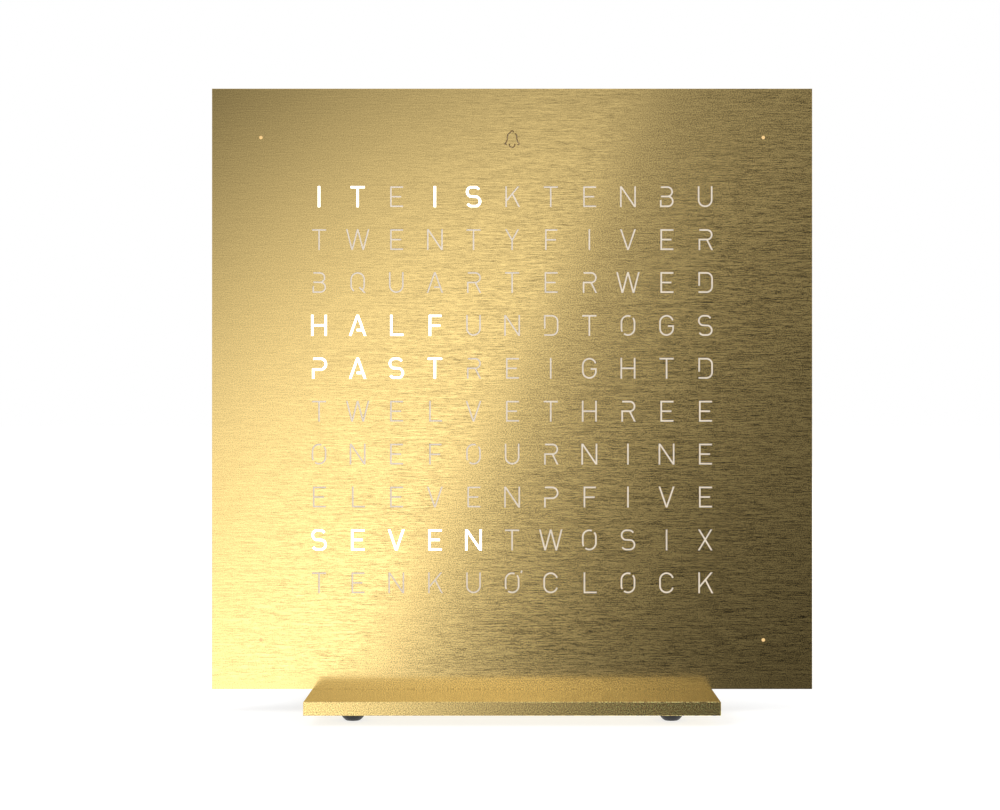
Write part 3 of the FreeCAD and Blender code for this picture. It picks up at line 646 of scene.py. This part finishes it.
def brushed_gold():
    """The cover's gold: level brush marks of two lengths and a fine speckle, the metal's own, whose
    strength follows the mirrored lamp's edge as painted shade.
    """
    material = finish("brushed_gold", GOLD, metallic=1.0, roughness=COVER_ROUGHNESS)
    sum_of = partial(arithmetic, material)
    x, _, z = millimetres(material, MIDDLE)
    past = past_edge(material, x, z)
    layers = [grain(material, (length, length, MARK_HEIGHT), detail=0.0) for length in MARK_LENGTHS]
    marks = sum_of("MULTIPLY", sum_of("ADD", *layers), 1 / len(layers))
    speckle = grain(material, SPECKLE_SIZE, detail=0.0)
    height = ramp(material, z, HEIGHT_LEVELS)
    # Painted shade: the marks and speckle are made stronger, and mostly darker, where the mirrored lamp's
    # light falls off.
    streaks_and_shade = sum_of("MULTIPLY", ramp(material, past, MARK_AND_SHADE_LEVELS), height)
    streaks_and_shade = sum_of("MULTIPLY", streaks_and_shade, MARK_CONTRAST)
    streaks_and_shade = sum_of("MULTIPLY", streaks_and_shade, sum_of("SUBTRACT", marks, GRAIN_MIDDLE))
    speckle_and_shade = sum_of("MULTIPLY", ramp(material, past, SPECKLE_AND_SHADE_LEVELS), SPECKLE_CONTRAST)
    speckle_and_shade = sum_of("MULTIPLY", speckle_and_shade, sum_of("SUBTRACT", speckle, GRAIN_MIDDLE))
    texture = sum_of("MINIMUM", sum_of("ADD", streaks_and_shade, speckle_and_shade), BRIGHTEST_MARK)
    ends = ramp(material, sum_of("ABSOLUTE", x), FOOT_ENDS)
    foot = sum_of("MULTIPLY", ramp(material, z, FOOT_LEVELS), ends)
    calm = sum_of("MULTIPLY_ADD", foot, -FOOT_CALMER, 1.0)
    tint(material, GOLD, sum_of("MULTIPLY_ADD", texture, calm, 1.0))
    roughness = sum_of("MULTIPLY_ADD", foot, FOOT_ROUGHER, COVER_ROUGHNESS)
    material.node_tree.links.new(roughness, surface_of(material).inputs["Roughness"])
    relief(material, marks, MARK_DEPTH)
    return material


def bead_blasted_gold():
    """The base plate's gold: the same metal with a fine speckle, smoother on its top, whose colour is made
    lighter there as a painted reflection of the cover's face.
    """
    material = finish("blasted_gold", GOLD, metallic=1.0, roughness=PLATE_EDGE_ROUGHNESS)
    sum_of = partial(arithmetic, material)
    x, y, _ = millimetres(material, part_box("base_plate")[0])
    speckle = grain(material, SPECKLE_SIZE, detail=0.0)
    top = sum_of("GREATER_THAN", y, PLATE_TOP_START)
    most = sum_of("MULTIPLY_ADD", top, PLATE_TOP_MOST - PLATE_EDGE_MOST, PLATE_EDGE_MOST)
    level = sum_of("MINIMUM", ramp(material, x, PLATE_EDGE_LEVELS), most)
    texture = sum_of("MULTIPLY", sum_of("SUBTRACT", speckle, GRAIN_MIDDLE), level)
    # Painted reflection: the top gets a lighter colour than the front edge.
    tone = sum_of("MULTIPLY_ADD", top, PLATE_TOP_PAINTED_SHEEN, 1.0)
    tint(material, GOLD, sum_of("MULTIPLY_ADD", texture, PLATE_CONTRAST, tone))
    smoother = PLATE_TOP_ROUGHNESS - PLATE_EDGE_ROUGHNESS
    roughness = sum_of("MULTIPLY_ADD", top, smoother, PLATE_EDGE_ROUGHNESS)
    material.node_tree.links.new(roughness, surface_of(material).inputs["Roughness"])
    relief(material, speckle, PLATE_DEPTH)
    return material


def moulded(name, colour, roughness, pit=0.25, depth=0.004):
    """A moulding with a fine even texture."""
    material = finish(name, colour, roughness=roughness)
    pits = grain(material, (pit, pit, pit))
    cloud = grain(material, CLOUD, detail=2.0)
    shade(material, cloud, colour, MOULDED_TONES)
    roughen(material, pits, roughness, MOULDED_SPREAD)
    relief(material, pits, depth)
    return material


def plated(name, colour, roughness, along=(2.5, 2.5, 0.12)):
    """A bright metal with faint marks from rolling or drawing."""
    material = finish(name, colour, metallic=1.0, roughness=roughness)
    marks = grain(material, along)
    shade(material, marks, colour, PLATED_TONES)
    roughen(material, marks, roughness, PLATED_SPREAD)
    relief(material, marks, PLATED_DEPTH)
    return material


def glowing(name, colour, light, strength):
    """A lit frosted surface, a little brighter in places."""
    material = finish(name, colour, roughness=GLOW_ROUGHNESS)
    surface = surface_of(material)
    surface.inputs["Emission Color"].default_value = (*light, 1.0)
    cloud = grain(material, GLOW_CLOUD, detail=1.0)
    power = between(material, cloud, strength * GLOW_SPREAD[0], strength * GLOW_SPREAD[1])
    material.node_tree.links.new(power, surface.inputs["Emission Strength"])
    return material


def circuit_board():
    """Lacquered board with faint copper tracks under the green."""
    material = finish("board_green", LACQUER, roughness=0.3)
    nodes, links = material.node_tree.nodes, material.node_tree.links
    place, tracks = nodes.new("ShaderNodeTexCoord"), nodes.new("ShaderNodeTexBrick")
    fit = nodes.new("ShaderNodeMapping")
    fit.inputs["Scale"].default_value = (1 / MM, 1 / MM, 1 / MM)
    fit.inputs["Rotation"].default_value = (math.pi / 2, 0, 0)
    tracks.inputs["Scale"].default_value = TRACK_DENSITY
    tracks.inputs["Mortar Size"].default_value = TRACK_WIDTH
    tracks.inputs["Color1"].default_value = (*LACQUER_DARK, 1)
    tracks.inputs["Color2"].default_value = (*LACQUER_LIGHT, 1)
    tracks.inputs["Mortar"].default_value = (*TRACK_COLOUR, 1)
    links.new(place.outputs["Object"], fit.inputs["Vector"])
    links.new(fit.outputs[0], tracks.inputs["Vector"])
    links.new(tracks.outputs["Color"], surface_of(material).inputs["Base Color"])
    relief(material, tracks.outputs["Fac"], TRACK_DEPTH)
    return material


def clear_plastic():
    """Clear polished light pipes with faint flow marks."""
    roughness, spread = 0.08, (-0.03, 0.04)
    material = finish("clear_moulding", (0.92, 0.94, 0.95), roughness=roughness)
    surface = surface_of(material)
    surface.inputs["Transmission Weight"].default_value = 0.85
    surface.inputs["IOR"].default_value = 1.49
    roughen(material, grain(material, FLOW, detail=1.0), roughness, spread)
    return material


gold_cover = brushed_gold()
gold_plate = bead_blasted_gold()
letter_finish = moulded("frosted_inlay", (0.93, 0.82, 0.68), 0.55, depth=0.002)
letter_light = glowing("letter_glow", (0.9, 0.9, 0.88), (1.0, 0.985, 0.95), 3.0)
dot_light = glowing("dot_glow", (0.35, 0.23, 0.1), (1.0, 0.67, 0.27), 0.65)
cell_light = glowing("cell_glow", (0.9, 0.9, 0.88), (1.0, 0.97, 0.9), 1.5)
charcoal = moulded("charcoal_moulding", (0.045, 0.045, 0.05), 0.55, depth=0.008)
button_finish = moulded("button_charcoal", (0.06, 0.06, 0.065), 0.42, depth=0.003)
rubber = moulded("foot_rubber", (0.032, 0.031, 0.034), 0.5, pit=0.4, depth=0.006)
steel = plated("bright_steel", (0.62, 0.62, 0.62), 0.25)
zinc = plated("zinc_steel", (0.52, 0.53, 0.55), 0.38, along=(0.8, 0.8, 0.8))
nickel = plated("magnet_nickel", (0.60, 0.58, 0.54), 0.2, along=(0.6, 0.6, 0.6))
black_screw = plated("black_screw", (0.05, 0.05, 0.055), 0.35, along=(0.4, 0.4, 0.4))
contact_gold = plated("gold_contact", (0.78, 0.55, 0.22), 0.25)
opal = moulded("opal_sheet", (0.80, 0.80, 0.78), 0.6, depth=0.002)
white = moulded("white_moulding", (0.78, 0.78, 0.76), 0.45)
smoked = moulded("smoked_window", (0.045, 0.036, 0.028), 0.15, depth=0.001)
board = circuit_board()
lamp_body = moulded("lamp_body", (0.78, 0.70, 0.42), 0.35)
chip_black = moulded("chip_black", (0.03, 0.03, 0.032), 0.5, pit=0.15)
capacitor = moulded("capacitor_yellow", (0.55, 0.33, 0.03), 0.35)
peg_finish = moulded("peg_moulding", (0.06, 0.06, 0.06), 0.5)
plunger = moulded("plunger_white", (0.68, 0.68, 0.66), 0.45)
clear = clear_plastic()
bell_finish = moulded("bell_inlay", (0.68, 0.54, 0.34), 0.5, depth=0.002)

FINISHES = {
    "housing_frame": charcoal, "rear_cover": charcoal, "base_plate": gold_plate,
    "keeper_plates": zinc, "locating_pegs": peg_finish, "cover_magnets": nickel,
    "diffuser_sheet": opal, "light_grid": white, "minute_light_pipes": clear,
    "alarm_lens": smoked, "led_board": board, "letter_lamps": lamp_body,
    "minute_lamps": lamp_body, "alarm_lamp": lamp_body, "touch_contact": contact_gold,
    "microcontroller": chip_black, "lamp_drivers": chip_black, "quartz_crystal": steel,
    "cell_holder": chip_black, "backup_cell": steel, "buffer_capacitors": capacitor,
    "buzzer": chip_black, "socket_shell": steel, "socket_insert": chip_black,
    "tact_switches": chip_black,
}
for key in ("hour", "minute", "alarm", "light"):
    FINISHES[key + "_button"] = button_finish
    FINISHES[key + "_switch_plunger"] = plunger

for name, material in FINISHES.items():
    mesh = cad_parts[name].data
    mesh.materials.clear()
    mesh.materials.append(material)


# ---- cover and letters -----------------------------------------------------------------------

LINES = letter_lines()
ALPHABET = sorted(LINES)
FIELD = field_tree()

LETTER_PITCH = (PITCH_X, 1.0, PITCH_Z)
LETTERS_MIDDLE = MIDDLE - Vector((0, 0, LETTER_DROP * MM))
DOT_PITCH = (2 * DOT_OUT, 1.0, 2 * DOT_OUT)

CUT_FRONT, CUT_BACK = FACE_Y - SLOT_PAST, COVER_BACK + SLOT_PAST
LETTER_FRONT, LETTER_ROOT = FACE_Y + LETTER_RECESS * MM, COVER_BACK + ROOT
FILM_FRONT = FACE_Y - LIT_FILM * MM
RAISED_STROKE = STROKE - 2 * SLOT_ROOM
LIT, UNLIT = (True,), (False,)


def letter_kit(name, width, front, back):
    """Every letter as a solid of that stroke width between two depths."""
    return kit(name, [prism(name + "_" + c, letter_outlines(c, width), front, back) for c in ALPHABET])


def letter_places(wanted):
    """The places of the letters that are wanted: LIT, UNLIT or both."""
    lit = {(row, column) for row, first, last in LIT_RUNS for column in range(first, last + 1)}
    places = []
    for row, line in enumerate(LETTER_ROWS):
        for column, letter in enumerate(line):
            if ((row, column) in lit) in wanted:
                x = column - (len(line) - 1) / 2
                z = (len(LETTER_ROWS) - 1) / 2 - row
                places.append((x, 0.0, z, ALPHABET.index(letter)))
    return places


def letters(name, wanted, width, front, back, material):
    """The wanted letters as one mesh between two depths."""
    pieces = letter_kit(name, width, front, back)
    return field(name, letter_places(wanted), pieces, LETTER_PITCH, LETTERS_MIDDLE, material)


def corner_places():
    """The four corners of a square of one pitch."""
    return [(x, 0.0, z, 0) for x in (-0.5, 0.5) for z in (-0.5, 0.5)]


def at_dots(name, outline, front, back, material):
    """The same outline at each of the four minute dots, between two depths."""
    pieces = kit(name, [prism(name, [outline], front, back)])
    return field(name, corner_places(), pieces, DOT_PITCH, MIDDLE, material)


def bell_mesh(width, front, back):
    """The alarm sign between two depths."""
    mesh = prism("bell", [ribbon(line, width) for line in BELL_LINES], front, back)
    mesh.transform(Matrix.Translation(MIDDLE + Vector((0, 0, ALARM_RISE))))
    return mesh


def plain_cover():
    """The cover before it is pierced, its front edge broken but for the foot."""
    plate = box_mesh(COVER_LO - Vector((0, 0, COVER_FOOT)), COVER_HI)
    work = bmesh.new()
    work.from_mesh(plate)
    rim = [edge for edge in work.edges if all(vert.co.y < FACE_Y + COVER_EDGE for vert in edge.verts)]
    rim = [edge for edge in rim if any(vert.co.z > MIDDLE.z for vert in edge.verts)]
    bmesh.ops.bevel(work, geom=rim, offset=COVER_EDGE, segments=1, affect="EDGES")
    work.to_mesh(plate)
    work.free()
    return plate


def pierced_cover():
    """The cover with its letters, minute dots and alarm sign cut right through."""
    slots = letters("slots", LIT + UNLIT, STROKE, CUT_FRONT, CUT_BACK, gold_cover)
    dot_holes = at_dots("dot_holes", circle(DOT_R, DOT_SIDES), CUT_FRONT, CUT_BACK, gold_cover)
    bell_slot = bell_mesh(BELL_STROKE, CUT_FRONT, CUT_BACK)
    return cut(plain_cover(), joined([slots, dot_holes, bell_slot]))


def letter_sheet():
    """The frosted sheet with the unlit letters standing on it, in their slots."""
    unlit = letters("unlit", UNLIT, RAISED_STROKE, LETTER_FRONT, LETTER_ROOT, letter_finish)
    return joined([box_mesh(*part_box("letter_inlay")), unlit])


def lit_letters():
    """The lit letters: a glowing film on the face, a little wider than the slot, whose rim past the slot
    is painted glow, and a stem in the slot.
    """
    film = letters("film", LIT, LIT_GLOW_STROKE, FILM_FRONT, FACE_Y, letter_light)
    stems = letters("lit", LIT, RAISED_STROKE, (FILM_FRONT + FACE_Y) / 2, LETTER_ROOT, letter_light)
    return joined([film, stems])


def dot_pads():
    """The square pad of each minute dot's plug, behind the cover."""
    side = (PADS_HI.x - DOT_OUT) * 2 / MM
    return at_dots("pads", rectangle(side, side), PADS_LO.y, PADS_HI.y, letter_finish)


def minute_dots():
    """The round stem of each minute dot's plug, in its hole."""
    outline = circle(DOT_R - SLOT_ROOM, DOT_SIDES)
    return at_dots("dots", outline, LETTER_FRONT, LETTER_ROOT, dot_light)


def alarm_sign():
    """The plug of the alarm sign on its square pad."""
    pad = box_mesh(*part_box("alarm_inlay"))
    bell = bell_mesh(BELL_STROKE - 2 * SLOT_ROOM, FACE_Y + BELL_RECESS * MM, LETTER_ROOT)
    return joined([pad, bell])


def lit_cells():
    """The lit cells, seen on the diffuser when the cover is off."""
    pane = prism("pane", [rectangle(CELL_WIDTH, CELL_HEIGHT)], DIFFUSER_FRONT - CELL_PANE, DIFFUSER_FRONT)
    places = [(x, y, z, 0) for x, y, z, _ in letter_places(LIT)]
    return field("cells", places, kit("pane", [pane]), LETTER_PITCH, MIDDLE, cell_light)


piece("pierced_cover", pierced_cover(), "cover", gold_cover, ["front_cover"])
piece("letter_sheet", letter_sheet(), "cover", letter_finish, ["letter_inlay"])
piece("lit_letters", lit_letters(), "cover", letter_light)
piece("dot_pads", dot_pads(), "cover", letter_finish, ["minute_dot_inlays"])
piece("minute_dots", minute_dots(), "cover", dot_light)
piece("alarm_sign", alarm_sign(), "cover", bell_finish, ["alarm_inlay"])
piece("lit_cells", lit_cells(), "housing", cell_light)


# ---- feet and screws -------------------------------------------------------------------------

def domed_feet():
    """The four feet, each a dome with a small flat under it, by which it stands."""
    low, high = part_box("rubber_feet")
    height = high.z - low.z
    centre = (FOOT_R**2 - FOOT_FLAT_R**2 - height**2) / (2 * height)
    dome_r = math.hypot(FOOT_R, centre)
    rim, flat = math.atan2(FOOT_R, centre), math.atan2(FOOT_FLAT_R, centre + height)
    profile = [(0, 0)]
    for i in range(DOME_STEPS + 1):
        turn = rim + (flat - rim) * i / DOME_STEPS
        profile.append((dome_r * math.sin(turn), centre - dome_r * math.cos(turn)))
    profile.append((0, -height))
    places = [(x, z, 0.0, 0) for x, _, z, _ in corner_places()]
    spacing = (high.x - low.x - 2 * FOOT_R, high.y - low.y - 2 * FOOT_R, 1.0)
    middle = Vector(((low.x + high.x) / 2, (low.y + high.y) / 2, high.z))
    feet = field("feet", places, kit("foot", [turned(profile, FOOT_SIDES)]), spacing, middle, rubber)
    feet.shade_smooth()
    return feet


def socket_screw(shank_r, head_r, length, socket_r, socket_depth):
    """A countersunk screw on its flat head at the origin, pointing along +Z, with a six-sided socket."""
    rim, thread = SCREW_RIM, SCREW_THREAD
    profile = [(0, 0), (head_r - 2 * rim, 0), (head_r - rim, rim), (shank_r, head_r - shank_r)]
    turns = int((length - head_r) / (2 * thread)) - 1
    for i in range(turns):
        height = head_r + 2 * thread * i
        profile += [(shank_r - thread, height), (shank_r, height + thread)]
    profile += [(shank_r - thread, length - 2 * thread), (shank_r - 2 * thread, length), (0, length)]
    socket = [(0, -rim), (socket_r, -rim), (socket_r, socket_depth), (0, socket_depth + socket_r / 2)]
    return cut(turned(profile, SCREW_SIDES), turned(socket, SOCKET_SIDES))


def plate_screw():
    """The screw that comes up through the base plate."""
    screw = socket_screw(*BASE_SCREW)
    low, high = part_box("base_screw")
    screw.transform(Matrix.Translation(((low.x + high.x) / 2, (low.y + high.y) / 2, low.z)))
    return screw


def back_screw():
    """The screw that goes in through the rear cover."""
    screw = socket_screw(*REAR_SCREW)
    low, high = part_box("rear_cover_screw")
    place = Matrix.Translation(((low.x + high.x) / 2, high.y, (low.z + high.z) / 2))
    screw.transform(place @ Matrix.Rotation(math.pi / 2, 4, "X"))
    return screw


piece("domed_feet", domed_feet(), "housing", rubber, ["rubber_feet"])
piece("plate_screw", plate_screw(), "housing", steel, ["base_screw"])
piece("back_screw", back_screw(), "housing", black_screw, ["rear_cover_screw"])


# ---- camera, lamps and studio ----------------------------------------------------------------

CAMERA_BACK = 0.4645            # from the cover's face
CAMERA_Z = 0.0693               # above the table
CAMERA_SHIFT = -0.0121          # share of the picture's width
SENSOR, LENS = 36.0, 74.35      # in millimetres

STUDIO_LAMPS = {"key_lamp": (-0.9, -1.0, 1.1), "back_lamp": (0.9, 1.1, 1.0)}
STUDIO_AIM = (0, 0, 0.07)
STUDIO_LAMP_SIZE, STUDIO_LAMP_POWER = 1.0, 14.0

AMBIENT = 0.85                  # the world's light on the object, where the background is 1
FLOOR_REACH = 6.0
FLOOR_COLOUR = 0.3
FLOOR_LIFT = 0.76               # what its own light adds, so that it is white but for shadows

CARD_BACK = 2.0                 # from the cover's face, behind the camera
CARD_REACH = 1.1
MAGNIFIED = 1 + CARD_BACK / CAMERA_BACK     # from a length on the face to its mirror image's

# The soft lamp on the card, its spill past the edge and the dim room beyond. What changes with
# the height is given by its powers, and lengths are in millimetres of the face.
EDGE_SOFTNESS = 0.9
SHOULDER = (0.2544, 5.88)
CARD_LEVEL = (1.264, -0.008836, -1.245e-05)
CARD_BEND = (-0.009317, -7.832e-06, -0.0001863)
SPILL = (0.7461, -0.00855)
SPILL_REACH = 21.7
ROOM = (-1.891, 0.008451)
CARD_DIMMEST, CARD_BRIGHTEST = 0.05, 2.2


def camera():
    """The camera, level in front of the clock."""
    data = bpy.data.cameras.new("camera")
    data.sensor_width = SENSOR
    data.lens = LENS
    data.shift_x = CAMERA_SHIFT
    obj = stand(bpy.data.objects.new("camera", data))
    obj.location = (0.0, FACE_Y - CAMERA_BACK, CAMERA_Z)
    obj.rotation_euler = (math.pi / 2, 0.0, 0.0)
    return obj


def lamp(name, where):
    """A soft area lamp that lights the mouldings and leaves no mark in the metal."""
    data = bpy.data.lights.new(name, "AREA")
    data.shape = "SQUARE"
    data.size = STUDIO_LAMP_SIZE
    data.energy = STUDIO_LAMP_POWER
    obj = stand(bpy.data.objects.new(name, data))
    obj.location = where
    obj.rotation_euler = (Vector(STUDIO_AIM) - Vector(where)).to_track_quat("-Z", "Y").to_euler()
    obj.visible_glossy = False


def background_rays(owner):
    """1 for the rays that see the white background: camera, glossy and transmission rays."""
    path = owner.node_tree.nodes.new("ShaderNodeLightPath").outputs
    total = arithmetic(owner, "ADD", path["Is Camera Ray"], path["Is Glossy Ray"])
    total = arithmetic(owner, "ADD", total, path["Is Transmission Ray"])
    return arithmetic(owner, "MINIMUM", total, 1.0)


def studio():
    """Plain light from all round, and white behind the object."""
    world = bpy.data.worlds.new("studio")
    world.use_nodes = True
    tree = world.node_tree
    level = arithmetic(world, "MULTIPLY_ADD", background_rays(world), 1.0 - AMBIENT, AMBIENT)
    tree.nodes["Background"].inputs["Color"].default_value = (1, 1, 1, 1)
    tree.links.new(level, tree.nodes["Background"].inputs["Strength"])
    return world


def floor():
    """A white floor that keeps the object's shadow."""
    material = finish("floor", (FLOOR_COLOUR,) * 3, roughness=1.0)
    surface = surface_of(material)
    surface.inputs["Specular IOR Level"].default_value = 0.0
    surface.inputs["Emission Color"].default_value = (1, 1, 1, 1)
    lift = arithmetic(material, "MULTIPLY", background_rays(material), FLOOR_LIFT)
    material.node_tree.links.new(lift, surface.inputs["Emission Strength"])
    mesh = bpy.data.meshes.new("floor")
    corners = [(x, y, 0) for x, y in rectangle(2 * FLOOR_REACH, 2 * FLOOR_REACH)]
    mesh.from_pydata(corners, [], [(0, 1, 2, 3)])
    mesh.materials.append(material)
    obj = stand(bpy.data.objects.new("floor", mesh))
    obj.visible_glossy = False
    return obj


def card_finish():
    """The light of a large soft lamp whose edge runs slantwise, as the cover's face mirrors it."""
    material = bpy.data.materials.new("studio_card")
    material.use_nodes = True
    nodes, links = material.node_tree.nodes, material.node_tree.links
    nodes.remove(nodes["Principled BSDF"])
    light = nodes.new("ShaderNodeEmission")
    sum_of = partial(arithmetic, material)
    scale = 1 / (MAGNIFIED * MM)
    rise = (CAMERA_Z - MIDDLE.z) / MM - CAMERA_Z * scale
    x, _, z = axes(material, scale, (0, 0, rise))
    past = past_edge(material, x, z)
    share = sum_of("EXPONENT", sum_of("DIVIDE", past, EDGE_SOFTNESS))
    share = sum_of("DIVIDE", 1.0, sum_of("ADD", 1.0, share))
    slope = sum_of("MULTIPLY_ADD", z, CARD_LEVEL[2], CARD_LEVEL[1])
    height = sum_of("MULTIPLY_ADD", z, slope, CARD_LEVEL[0])
    lean = sum_of("MULTIPLY_ADD", z, CARD_BEND[1], CARD_BEND[0])
    bend = sum_of("MULTIPLY_ADD", past, CARD_BEND[2], lean)
    bright = sum_of("MULTIPLY", height, sum_of("EXPONENT", sum_of("MULTIPLY", past, bend)))
    shoulder = sum_of("EXPONENT", sum_of("DIVIDE", sum_of("MINIMUM", past, 0.0), SHOULDER[1]))
    bright = sum_of("MULTIPLY", bright, sum_of("MULTIPLY_ADD", shoulder, -SHOULDER[0], 1.0))
    spill = sum_of("MULTIPLY_ADD", z, SPILL[1], SPILL[0])
    spill = sum_of("MULTIPLY", spill, sum_of("EXPONENT", sum_of("DIVIDE", past, -SPILL_REACH)))
    room = sum_of("EXPONENT", sum_of("MULTIPLY_ADD", z, ROOM[1], ROOM[0]))
    dark = sum_of("ADD", spill, room)
    level = sum_of("MULTIPLY_ADD", share, sum_of("SUBTRACT", bright, dark), dark)
    level = sum_of("MINIMUM", sum_of("MAXIMUM", level, CARD_DIMMEST), CARD_BRIGHTEST)
    links.new(level, light.inputs["Strength"])
    light.inputs["Color"].default_value = (1, 1, 1, 1)
    links.new(light.outputs[0], nodes["Material Output"].inputs["Surface"])
    return material


def studio_card():
    """The card behind the camera, seen by the metal alone."""
    mesh = bpy.data.meshes.new("studio_card")
    corners = [(x, FACE_Y - CARD_BACK, z) for x, z in rectangle(2 * CARD_REACH, 2 * CARD_REACH)]
    mesh.from_pydata(corners, [], [(0, 1, 2, 3)])
    mesh.materials.append(card_finish())
    obj = stand(bpy.data.objects.new("studio_card", mesh))
    for kind in ("camera", "diffuse", "transmission", "volume_scatter", "shadow"):
        setattr(obj, "visible_" + kind, False)
    return obj


bpy.context.scene.camera = camera()
for name, where in STUDIO_LAMPS.items():
    lamp(name, where)
bpy.context.scene.world = studio()
floor()
studio_card()
bpy.context.scene.view_settings.view_transform = "Standard"
